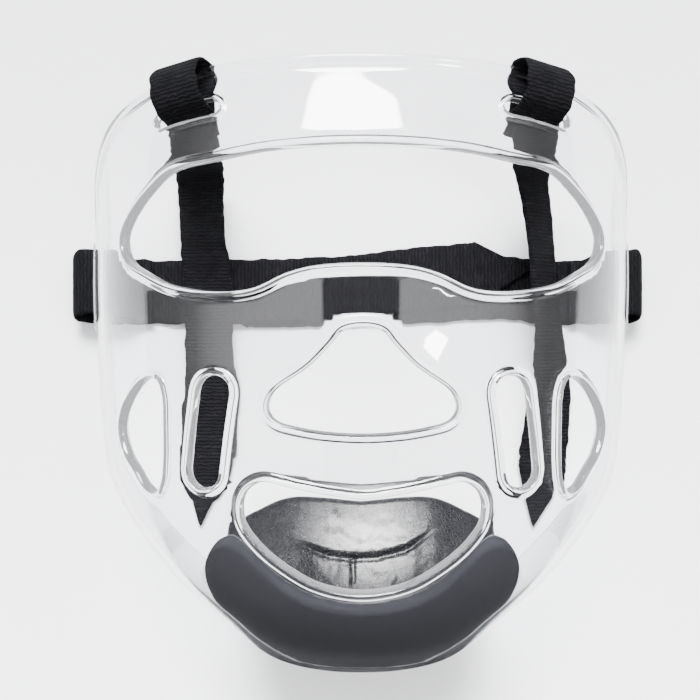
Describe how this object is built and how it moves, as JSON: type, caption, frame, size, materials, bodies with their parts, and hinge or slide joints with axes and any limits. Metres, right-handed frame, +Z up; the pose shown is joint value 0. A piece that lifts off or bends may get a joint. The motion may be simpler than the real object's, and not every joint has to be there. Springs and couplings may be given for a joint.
{
  "type": "face shield headgear",
  "caption": "Clear moulded full-face shield with lipped openings, hook-and-loop head straps and a padded chin cup, lying face up.",
  "frame": {"origin": "middle of the box's bottom, on the surface that the mask lies on", "axes": "+X to the right of the picture, +Y from chin to forehead, +Z up, out of the mask's face"},
  "size_m": [0.2242, 0.221, 0.0983],
  "materials": {
    "clear_plastic": "clear polycarbonate, glossy",
    "black_webbing": "woven, with hook-and-loop pile",
    "black_vinyl": "grained vinyl over foam"
  },
  "bodies": {
    "root": {"shell": "clear_plastic", "brow_strap_left": "black_webbing", "brow_strap_right": "black_webbing", "side_strap_left": "black_webbing", "side_strap_right": "black_webbing", "chin_cup": "black_vinyl"}
  },
  "joints": []
}
